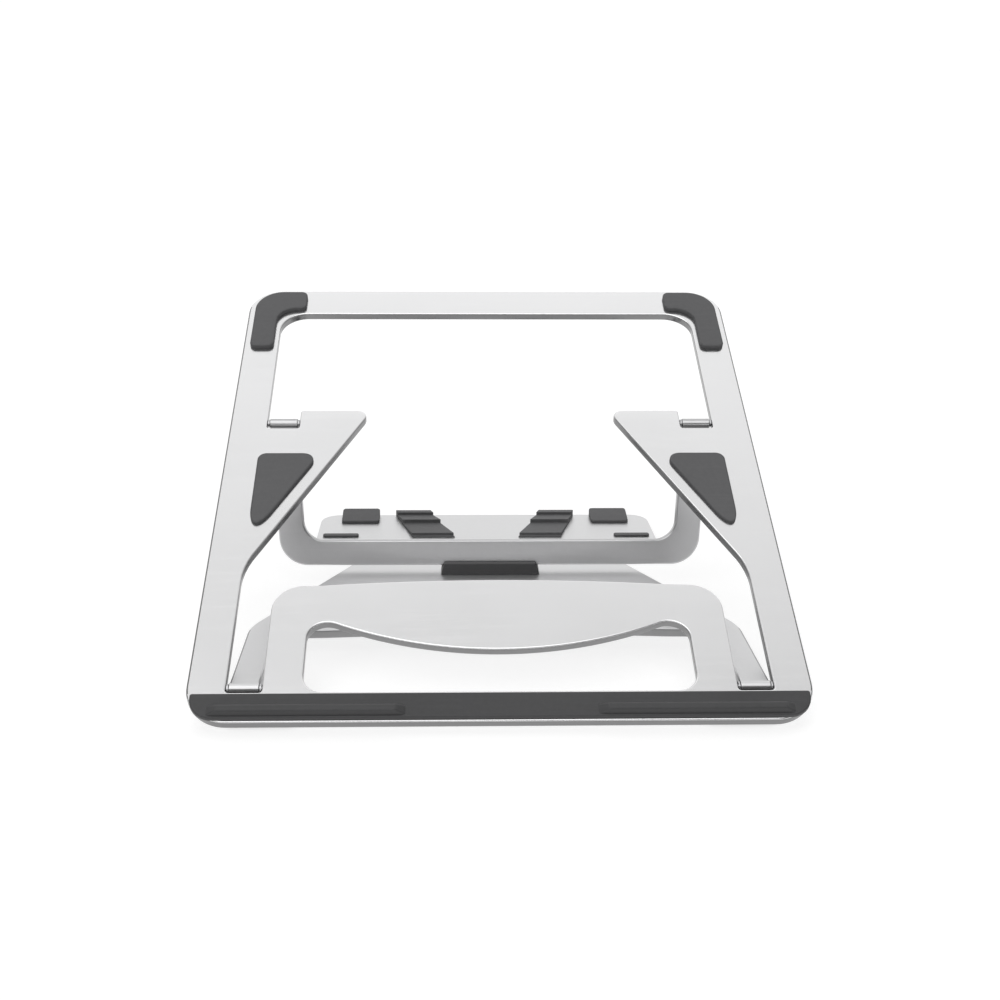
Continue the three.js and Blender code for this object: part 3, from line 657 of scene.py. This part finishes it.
@dataclass(frozen=True)
class Layout:
    """Where the two hinge lines lie and how the three plates stand."""

    front: Vector
    rear: Vector
    opening: float = math.radians(28.5)
    lean: float = math.radians(8.9)

    @classmethod
    def read(cls) -> "Layout":
        """Finds the hinge lines from the pins."""
        return cls(cls.middle("front_hinge_pin_left"), cls.middle("leg_hinge_pin_left"))

    @staticmethod
    def middle(node: str) -> Vector:
        """Finds the middle of a pin, moved to the stand's middle plane.

        Args:
            node: Name of the pin's node.

        Returns:
            The place in metres.
        """
        low, high = (Vector(corner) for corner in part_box(node))
        spot = (low + high) / 2
        spot.x = 0.0
        return spot

    @property
    def tilt(self) -> float:
        """Slope of the platform."""
        return math.atan2(self.rear.z - self.front.z, self.rear.y - self.front.y)

    @property
    def platform(self) -> Matrix:
        """The platform's frame: its origin is on the front hinge line."""
        return Matrix.Translation(self.front) @ Matrix.Rotation(self.tilt, 4, "X")

    @property
    def base(self) -> Matrix:
        """The base's frame: its origin is on the front hinge line."""
        return Matrix.Translation(self.front) @ Matrix.Rotation(self.tilt - self.opening, 4, "X")

    @property
    def leg(self) -> Matrix:
        """The leg's frame: +Y runs down the leg from the rear hinge line."""
        turn = self.tilt - math.pi / 2 - self.opening - self.lean
        return Matrix.Translation(self.rear) @ Matrix.Rotation(turn, 4, "X")


@dataclass
class PlateSizes:
    """Sizes in mm that the plates share; lengths are from the front hinge line."""

    half: float = 2.0
    edge: float = 0.8
    front: float = -16.5
    rear: float = 246.45
    half_width: float = 120.0
    rail_rear: float = 103.0
    rail_front: float = 105.0
    wing_rear: float = 155.5
    wing_tip: float = 55.0
    wing_knee: float = 59.5
    frame_half: float = 91.3
    frame_corner: float = 12.5
    crown: float = 52.5
    crown_fall: float = 3.2
    barrel: float = 2.3
    side_gap: float = 1.1
    nest_gap: float = 0.9
    slot_corner: float = 1.2

    @property
    def slope(self) -> float:
        """Sideways run of the wing's slanted edge for each mm of depth."""
        return (self.rail_front - self.wing_tip) / (self.wing_rear - self.wing_knee)

    @property
    def stretch(self) -> float:
        """Sideways size of a gap square to the slanted edge, for each mm of gap."""
        return math.hypot(1.0, self.slope)

    def crown_line(self, shift: float) -> list[Corner]:
        """The crowned rear edge of the inner frame.

        Args:
            shift: How far the edge is moved back in mm.

        Returns:
            The corners from right to left, ends left out.
        """
        reach = self.frame_half - self.frame_corner
        radius = (reach**2 + self.crown_fall**2) / (2 * self.crown_fall)
        half = math.degrees(math.asin(reach / radius))
        centre = (0.0, self.crown + shift - radius)
        return arc(centre, radius, 90 - half, 90 + half, CROWN_SEGMENTS)[1:-1]


@dataclass
class Platform:
    """The sloping open plate with its stop strip and pads."""

    shop: Workshop
    layout: Layout
    sizes: PlateSizes = field(default_factory=PlateSizes)
    front_radius: float = 16.5
    rear_radius: float = 17.0
    inner_radius: float = 13.4
    rear_rail: float = 18.8
    front_rail: float = -2.8
    slot_wall: float = 143.7
    slot_inner: float = 88.2
    window_half: float = 76.0
    window_radius: float = 8.0
    smile_depth: float = 16.8
    smile_radius: float = 168.0
    strip_margin: float = 2.2
    strip_front: float = 0.8
    strip_depth: float = 11.1
    strip_height: float = 1.8
    lip_height: float = 4.4
    lip_depth: float = 5.2
    lip_range: Point = (35.0, 112.0)
    lip_inset: float = 0.7
    lip_end_draft: float = 5.0
    lip_front_draft: float = 0.8
    lip_rear_draft: float = 1.6
    lip_edge: float = 0.7
    wing_tip_radius: float = 4.5
    wing_knee_radius: float = 30.0
    strip_front_radius: float = 9.2
    strip_rear_radius: float = 0.9
    strip_edge: float = 0.6
    corner_pad_height: float = 2.2
    corner_pad_inset: float = 3.4
    corner_pad_margin: float = 2.2
    corner_pad_length: float = 43.0
    corner_pad_width: float = 25.5
    corner_pad_radius: float = 3.0
    corner_pad_inner_radius: float = 10.0
    wing_pad_height: float = 1.6
    wing_pad_gap: float = 5.8
    wing_pad_rear: float = 125.7
    wing_pad_radius: float = 5.0
    wing_pad_rear_radius: float = 4.0
    pad_edge: float = 0.8

    def build(self) -> None:
        """Builds the platform and everything fixed to it."""
        self.plate()
        self.strip()
        for name, side in SIDES.items():
            self.pad(f"rear_corner_pad_{name}", self.corner_outline(side), self.corner_pad_height)
            self.pad(f"wing_pad_{name}", self.wing_outline(side), self.wing_pad_height)

    def plate(self) -> None:
        """The plate: its outline, the big opening and the smiling window."""
        s = self.sizes
        outer = [
            (-s.half_width, s.front, self.front_radius),
            (s.half_width, s.front, self.front_radius),
            (s.half_width, s.rear, self.rear_radius),
            (-s.half_width, s.rear, self.rear_radius),
        ]
        right = [
            (s.rail_rear, s.rear - self.rear_rail, self.inner_radius),
            (s.rail_rear, self.slot_wall, s.slot_corner),
            (self.slot_inner, self.slot_wall, s.slot_corner),
            (self.slot_inner, s.wing_rear, s.slot_corner),
            (s.wing_tip, s.wing_rear, self.wing_tip_radius),
            (s.rail_front, s.wing_knee, self.wing_knee_radius),
            (s.rail_front, self.front_rail, s.slot_corner),
            (s.frame_half, self.front_rail, s.slot_corner),
            (s.frame_half, s.crown - s.crown_fall, s.frame_corner),
        ]
        opening = [*right, *s.crown_line(0.0), *mirrored(right)]
        bm = bmesh.new()
        add_plate(bm, [outer, opening, self.window_outline()], -s.half, s.half, s.edge)
        place = self.layout.platform
        self.shop.piece("platform_sheet", bm, place, "aluminium", "platform", "platform_plate")

    def window_outline(self) -> list[Corner]:
        """The window: a straight front edge, round sides and a sagging rear edge.

        Returns:
            The corners of the window.
        """
        crest_x = self.window_half - self.window_radius
        reach = self.smile_radius + self.window_radius
        centre_y = self.smile_depth + self.smile_radius
        crest_y = centre_y - math.sqrt(reach**2 - crest_x**2)
        lean = math.degrees(math.asin(crest_x / reach))
        crest = arc((crest_x, crest_y), self.window_radius, 0, 90 + lean, ARC_SEGMENTS)
        smile = arc((0.0, centre_y), self.smile_radius, lean - 90, -lean - 90, 3 * ARC_SEGMENTS)
        front = (self.front_rail, self.window_radius)
        corners = [(-self.window_half, *front), (self.window_half, *front)]
        return [*corners, *crest, *smile[1:-1], *mirrored(crest)]

    def strip(self) -> None:
        """The rubber strip on the front rail with its two laptop lips."""
        s = self.sizes
        low = s.half + SEAT_GAP
        half = s.half_width - self.strip_margin
        front = s.front + self.strip_front
        rear = front + self.strip_depth
        outline = [
            (-half, front, self.strip_front_radius),
            (half, front, self.strip_front_radius),
            (half, rear, self.strip_rear_radius),
            (-half, rear, self.strip_rear_radius),
        ]
        bm = bmesh.new()
        add_plate(bm, [outline], low, low + self.strip_height, self.strip_edge, both=False)
        lip_front = front + self.lip_inset
        ridge = low + self.lip_height
        for side in SIDES.values():
            start, end = cross_range(side, *self.lip_range)
            self.lip(bm, start, end, lip_front, low + self.strip_height / 2, ridge)
        place = self.layout.platform
        self.shop.piece("stop_strip", bm, place, "rubber", "platform", "front_stop_strip")

    def lip(
        self,
        bm: bmesh.types.BMesh,
        start: float,
        end: float,
        front: float,
        low: float,
        high: float,
    ) -> None:
        """Adds one lip: a block whose top is drawn in on every side, with soft edges.

        Args:
            bm: The mesh that takes the lip.
            start: First x in mm.
            end: Last x in mm.
            front: Its front edge in mm.
            low: Height of its underside in mm.
            high: Height of its ridge in mm.
        """
        part = bmesh.new()
        middle = ((start + end) / 2, front + self.lip_depth / 2, (low + high) / 2)
        size = Matrix.Diagonal((end - start, self.lip_depth, high - low, 1.0))
        bmesh.ops.create_cube(part, size=1.0, matrix=Matrix.Translation(middle) @ size)
        for vert in part.verts:
            if vert.co.z > middle[2]:
                draft = self.lip_end_draft
                vert.co.x += draft if vert.co.x < middle[0] else -draft
                vert.co.y += self.lip_front_draft if vert.co.y < middle[1] else -self.lip_rear_draft
        upper = [e for e in part.edges if max(v.co.z for v in e.verts) > middle[2]]
        round_edges(part, upper, self.lip_edge)
        join_into(bm, part)

    def corner_outline(self, side: float) -> list[Corner]:
        """The L-shaped pad that follows a rear corner.

        Args:
            side: 1 for the right-hand side, -1 for the left.

        Returns:
            The corners of the pad.
        """
        s = self.sizes
        inset = self.corner_pad_inset
        tip = self.corner_pad_radius
        outer = s.half_width - inset
        inner = s.rail_rear + self.corner_pad_margin
        rear = s.rear - inset
        inner_rear = s.rear - self.rear_rail + self.corner_pad_margin
        side_end = rear - self.corner_pad_length
        rear_end = outer - self.corner_pad_width
        corners = [
            (outer, side_end, tip),
            (outer, rear, self.rear_radius - inset),
            (rear_end, rear, tip),
            (rear_end, inner_rear, tip),
            (inner, inner_rear, self.corner_pad_inner_radius),
            (inner, side_end, tip),
        ]
        return on_side(side, corners)

    def wing_outline(self, side: float) -> list[Corner]:
        """The three-cornered pad beside the wing's slanted edge.

        Args:
            side: 1 for the right-hand side, -1 for the left.

        Returns:
            The corners of the pad.
        """
        s = self.sizes
        shift = self.wing_pad_gap * s.stretch
        rear = self.wing_pad_rear
        front = s.wing_rear - (s.rail_front - s.wing_tip - shift) / s.slope
        slant = s.wing_tip + (s.wing_rear - rear) * s.slope + shift
        corners = [
            (s.rail_front, front, self.wing_pad_radius),
            (s.rail_front, rear, self.wing_pad_rear_radius),
            (slant, rear, self.wing_pad_radius),
        ]
        return on_side(side, corners)

    def pad(self, node: str, outline: list[Corner], height: float) -> None:
        """Makes a flat rubber pad with a softly rounded top edge.

        Args:
            node: The CAD node it stands for.
            outline: Its corners.
            height: Its thickness in mm.
        """
        low = self.sizes.half + SEAT_GAP
        bm = bmesh.new()
        add_plate(bm, [outline], low, low + height, self.pad_edge, both=False)
        self.shop.piece(f"{node}_rubber", bm, self.layout.platform, "rubber", "platform", node)


@dataclass
class Base:
    """The plate on the desk, with the rack and its pads."""

    shop: Workshop
    layout: Layout
    sizes: PlateSizes = field(default_factory=PlateSizes)
    head_half: float = 86.2
    head_front: float = 157.5
    head_rear: float = 202.45
    edge_gap: float = 3.2
    foot_front: float = 118.056
    stop_half: float = 23.0
    step_start: float = 166.0
    arm_knee_radius: float = 24.0
    neck_radius: float = 8.0
    head_radius: float = 10.0
    foot_gap: float = 0.4
    stop_depth: float = 3.6
    stop_height: float = 5.1
    stop_draft: float = 0.8
    stop_edge: float = 0.35
    stop_end_draft: float = 0.07
    tread_height: float = 2.3
    tread_depth: float = 5.2
    tread_top_depth: float = 4.8
    step_notches: tuple[Corner, ...] = (
        (1.5, 0.5, 0.5),
        (18.0, 1.9, 0.95),
        (10.5, 2.95, 1.8),
        (4.0, 3.3, 3.3),
    )
    step_range: Point = (16.1, 37.6)
    step_splay: Point = (0.37, 0.28)
    step_edge: float = 0.22
    rest_range: Point = (55.55, 75.05)
    rest_inset: float = 1.2
    rest_depth: float = 13.2
    rest_radius: float = 1.6
    rest_front_height: float = 1.4
    rest_rise: float = 2.6
    rest_edge: float = 0.6
    guide_range: Point = (65.0, 83.0)
    guide_span: Point = (166.6, 170.2)
    guide_radius: float = 1.2
    guide_height: float = 0.9
    guide_edge: float = 0.35

    def build(self) -> None:
        """Builds the base and its rubber parts."""
        self.plate()
        self.stop_bar()
        for name, side in SIDES.items():
            self.steps(name, side)
            self.rest_pad(name, side)
            self.guide(name, side)

    def plate(self) -> None:
        """The plate: two arms to the front hinge, a neck and a wide head."""
        s = self.sizes
        gap = self.edge_gap * s.stretch
        arm_in = s.frame_half + s.side_gap
        arm_out = s.rail_front - s.side_gap
        knee = s.wing_rear - (arm_out - s.wing_tip + gap) / s.slope
        neck = s.wing_tip + (s.wing_rear - self.head_front) * s.slope - gap
        right = [
            (arm_in, s.crown + s.nest_gap - s.crown_fall, s.frame_corner + s.nest_gap),
            (arm_in, 0.0, 0.0),
            (arm_out, 0.0, 0.0),
            (arm_out, knee, self.arm_knee_radius),
            (neck, self.head_front, self.neck_radius),
            (self.head_half, self.head_front, self.head_radius),
            (self.head_half, self.head_rear, self.head_radius),
        ]
        crown = list(reversed(s.crown_line(s.nest_gap)))
        bm = bmesh.new()
        add_plate(bm, [[*crown, *right, *mirrored(right)]], -s.half, s.half, s.edge)
        for side in SIDES.values():
            add_barrel(bm, s.barrel, *cross_range(side, arm_in, arm_out))
        self.shop.piece("base_sheet", bm, self.layout.base, "aluminium", "base", "base_plate")

    def stop_bar(self) -> None:
        """The bar that the leg's foot leans on: a lip with a tread behind it."""
        low = self.sizes.half + SEAT_GAP
        rear = self.foot_front - self.foot_gap
        front = rear - self.stop_depth
        profile = [
            (front, low),
            (front + self.stop_draft, low + self.stop_height),
            (rear, low + self.stop_height),
            (rear, low + self.tread_height),
            (rear + self.tread_top_depth, low + self.tread_height),
            (rear + self.tread_depth, low),
        ]
        bm = bmesh.new()
        add_prism(bm, profile, -self.stop_half, self.stop_half, self.stop_edge)
        for vert in bm.verts:
            height = (vert.co.z - low) / self.stop_height
            vert.co.x *= 1.0 - self.stop_end_draft * max(0.0, height) ** 2
        self.shop.piece("leg_stop_rubber", bm, self.layout.base, "rubber", "base", "leg_stop_bar")

    def steps(self, name: str, side: float) -> None:
        """A notched block: its treads fall to the rear, each to a riser, and it splays outward.

        Args:
            name: left or right.
            side: 1 for the right-hand side, -1 for the left.
        """
        low = self.sizes.half + SEAT_GAP
        y = self.step_start
        profile = [(y, low)]
        for length, front_height, rear_height in self.step_notches:
            profile.append((y, low + front_height))
            y += length
            profile.append((y, low + rear_height))
        profile.append((y, low))
        bm = bmesh.new()
        inner, outer = self.step_range
        add_prism(bm, profile, *cross_range(side, inner, outer), self.step_edge)
        for vert in bm.verts:
            outward = (abs(vert.co.x) - inner) / (outer - inner)
            splay = self.step_splay[0] + (self.step_splay[1] - self.step_splay[0]) * outward
            vert.co.x += side * splay * (vert.co.y - self.step_start)
        node = f"step_block_{name}"
        self.shop.piece(f"{node}_rubber", bm, self.layout.base, "rubber", "base", node)

    def rest_pad(self, name: str, side: float) -> None:
        """A wedge-shaped pad near the rear corner of the head.

        Args:
            name: left or right.
            side: 1 for the right-hand side, -1 for the left.
        """
        low = self.sizes.half + SEAT_GAP
        rear = self.head_rear - self.rest_inset
        front = rear - self.rest_depth
        outline = self.block_outline(side, self.rest_range, (front, rear), self.rest_radius)
        bm = bmesh.new()
        add_plate(bm, [outline], low, low + self.rest_front_height, self.rest_edge, both=False)
        for vert in bm.verts:
            if vert.co.z > low + ABOVE_SEAT:
                vert.co.z += self.rest_rise * (vert.co.y - front) / (rear - front)
        node = f"rest_pad_{name}"
        self.shop.piece(f"{node}_rubber", bm, self.layout.base, "rubber", "base", node)

    def guide(self, name: str, side: float) -> None:
        """A thin strip near the front edge of the head.

        Args:
            name: left or right.
            side: 1 for the right-hand side, -1 for the left.
        """
        low = self.sizes.half + SEAT_GAP
        outline = self.block_outline(side, self.guide_range, self.guide_span, self.guide_radius)
        bm = bmesh.new()
        add_plate(bm, [outline], low, low + self.guide_height, self.guide_edge, both=False)
        node = f"guide_strip_{name}"
        self.shop.piece(f"{node}_rubber", bm, self.layout.base, "rubber", "base", node)

    @staticmethod
    def block_outline(side: float, across: Point, along: Point, radius: float) -> list[Corner]:
        """A rectangle with rounded corners.

        Args:
            side: 1 for the right-hand side, -1 for the left.
            across: Its x-range on the right-hand side in mm.
            along: Its front and rear edges in mm.
            radius: Radius of its corners in mm.

        Returns:
            The corners of the rectangle.
        """
        left, right = cross_range(side, *across)
        front, rear = along
        places = ((left, front), (right, front), (right, rear), (left, rear))
        return [(x, y, radius) for x, y in places]


@dataclass
class Leg:
    """The U-shaped leg that hangs from the wings."""

    shop: Workshop
    layout: Layout
    sizes: PlateSizes = field(default_factory=PlateSizes)
    length: float = 66.554
    foot_half: float = 98.0
    inner_half: float = 86.8
    bar: float = 11.8
    hinge_range: Point = (89.3, 101.9)
    inner_radius: float = 9.5
    outer_radius: float = 13.3

    def build(self) -> None:
        """Builds the leg with its two barrels."""
        s = self.sizes
        right = [
            (self.inner_half, self.length - self.bar, self.inner_radius),
            (self.hinge_range[0], 0.0, 0.0),
            (self.hinge_range[1], 0.0, 0.0),
            (self.foot_half, self.length, self.outer_radius),
        ]
        bm = bmesh.new()
        add_plate(bm, [[*right, *mirrored(right)]], -s.half, s.half, s.edge)
        for side in SIDES.values():
            add_barrel(bm, s.barrel, *cross_range(side, *self.hinge_range))
        self.shop.piece("leg_sheet", bm, self.layout.leg, "leg_aluminium", "leg", "support_leg")


# ---- Studio -------------------------------------------------------------------------


@dataclass
class Studio:
    """A pale floor, soft light from above and behind, and the camera."""

    layout: Layout
    lens: float = 46.03
    shift: Point = (0.0261, -0.0151)
    sky_strength: float = 1.12
    sky_levels: tuple[Point, ...] = (
        (0.05, 0.12),
        (0.47, 0.50),
        (0.54, 0.64),
        (0.62, 0.80),
        (0.73, 0.98),
        (0.97, 0.92),
    )
    flank_level: float = 0.35
    flank_range: Point = (0.5, 0.95)
    key_energy: float = 1.3
    key_angle: float = 70.0
    key_turn: Point = (32.0, -14.0)
    floor_size: float = 30.0
    floor_shade: float = 0.40
    floor_glow: float = 0.68
    floor_roughness: Point = (0.62, 0.78)
    floor_mottle: float = 9.0
    floor_specular: float = 0.2
    camera_turns: Corner = (0.799, -0.0341, 0.0226)
    camera_place: Corner = (-21.87, -286.386, 406.178)
    sensor_width: float = 36.0
    clip: Point = (0.01, 100.0)

    def build(self) -> None:
        """Sets up the floor, the lights and the camera."""
        self.floor()
        self.sky()
        self.key_light()
        self.camera()

    def floor(self) -> None:
        """A wide pale floor that carries faint mottling."""
        bm = bmesh.new()
        bmesh.ops.create_grid(bm, x_segments=1, y_segments=1, size=self.floor_size)
        mesh = bpy.data.meshes.new("studio_floor")
        bm.to_mesh(mesh)
        bm.free()
        material = bpy.data.materials.new("pale_floor")
        material.use_nodes = True
        shader = material.node_tree.nodes["Principled BSDF"]
        shader.inputs["Base Color"].default_value = (*([self.floor_shade] * 3), 1.0)
        shader.inputs["Specular IOR Level"].default_value = self.floor_specular
        shader.inputs["Emission Color"].default_value = (1.0, 1.0, 1.0, 1.0)
        shader.inputs["Emission Strength"].default_value = self.floor_glow
        nodes = Nodes(material.node_tree)
        place = nodes.add("ShaderNodeTexCoord")
        mottle = nodes.add("ShaderNodeTexNoise", Scale=self.floor_mottle)
        low, high = self.floor_roughness
        rough = nodes.add("ShaderNodeMapRange", To_Min=low, To_Max=high)
        nodes.link(place.outputs["Object"], mottle.inputs["Vector"])
        nodes.link(mottle.outputs["Fac"], rough.inputs["Value"])
        nodes.link(rough.outputs["Result"], shader.inputs["Roughness"])
        mesh.materials.append(material)
        floor = bpy.data.objects.new("studio_floor", mesh)
        bpy.context.scene.collection.objects.link(floor)

    def sky(self) -> None:
        """Soft light from all round, brightest high behind the stand and dim in front of it."""
        world = bpy.data.worlds.new("studio_sky")
        world.use_nodes = True
        bpy.context.scene.world = world
        tree = world.node_tree
        tree.nodes.clear()
        nodes = Nodes(tree)
        place = nodes.add("ShaderNodeTexCoord")
        split = nodes.add("ShaderNodeSeparateXYZ")
        spread = nodes.add("ShaderNodeMapRange", From_Min=-1.0, From_Max=1.0)
        ramp = nodes.add("ShaderNodeValToRGB")
        glow = nodes.add("ShaderNodeBackground")
        out = nodes.add("ShaderNodeOutputWorld")
        stops = ramp.color_ramp.elements
        for _ in range(len(self.sky_levels) - len(stops)):
            stops.new(0.5)
        for stop, (spot, level) in zip(stops, self.sky_levels):
            stop.position = spot
            stop.color = (level, level, level, 1.0)
        nodes.link(place.outputs["Generated"], split.inputs[0])
        nodes.link(split.outputs["Y"], spread.inputs["Value"])
        nodes.link(spread.outputs["Result"], ramp.inputs["Fac"])
        flank = nodes.add("ShaderNodeMath", operation="ABSOLUTE")
        near, far = self.flank_range
        dim = nodes.add("ShaderNodeMapRange", From_Min=near, From_Max=far)
        dim.inputs["To Min"].default_value = self.sky_strength
        dim.inputs["To Max"].default_value = self.sky_strength * self.flank_level
        nodes.link(split.outputs["X"], flank.inputs[0])
        nodes.link(flank.outputs[0], dim.inputs["Value"])
        nodes.link(ramp.outputs["Color"], glow.inputs["Color"])
        nodes.link(dim.outputs["Result"], glow.inputs["Strength"])
        nodes.link(glow.outputs[0], out.inputs["Surface"])

    def key_light(self) -> None:
        """A very broad soft key light from high in front, to the left."""
        light = bpy.data.lights.new("soft_key", "SUN")
        light.energy = self.key_energy
        light.angle = math.radians(self.key_angle)
        key = bpy.data.objects.new("soft_key", light)
        key.rotation_euler = (*map(math.radians, self.key_turn), 0.0)
        bpy.context.scene.collection.objects.link(key)

    def camera(self) -> None:
        """The camera, aimed from in front and above."""
        pitch, yaw, roll = self.camera_turns
        turn = (
            Matrix.Rotation(roll, 3, "Z")
            @ Matrix.Rotation(pitch, 3, "X")
            @ Matrix.Rotation(yaw, 3, "Y")
            @ Matrix(((1, 0, 0), (0, 0, -1), (0, 1, 0)))
        )
        flip = Matrix.Diagonal((1.0, -1.0, -1.0))
        frame = self.layout.platform
        spot = frame @ (Vector(self.camera_place) * MM)
        look = frame.to_3x3() @ turn.transposed() @ flip
        data = bpy.data.cameras.new("camera")
        data.lens = self.lens
        data.sensor_width = self.sensor_width
        data.shift_x, data.shift_y = self.shift
        data.clip_start, data.clip_end = self.clip
        camera = bpy.data.objects.new("camera", data)
        camera.matrix_world = Matrix.Translation(spot) @ look.to_4x4()
        bpy.context.scene.collection.objects.link(camera)
        bpy.context.scene.camera = camera


def main() -> None:
    """Builds the stand, dresses it and lights it."""
    logging.basicConfig(level=logging.INFO, format="%(message)s")
    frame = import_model()
    shop = Workshop()
    shop.dress_frame(frame)
    layout = Layout.read()
    for part in (Platform(shop, layout), Base(shop, layout), Leg(shop, layout)):
        part.build()
        log.info("built the %s", type(part).__name__.lower())
    Studio(layout).build()
    bpy.context.scene.view_settings.view_transform = "Standard"


if __name__ == "__main__":
    main()
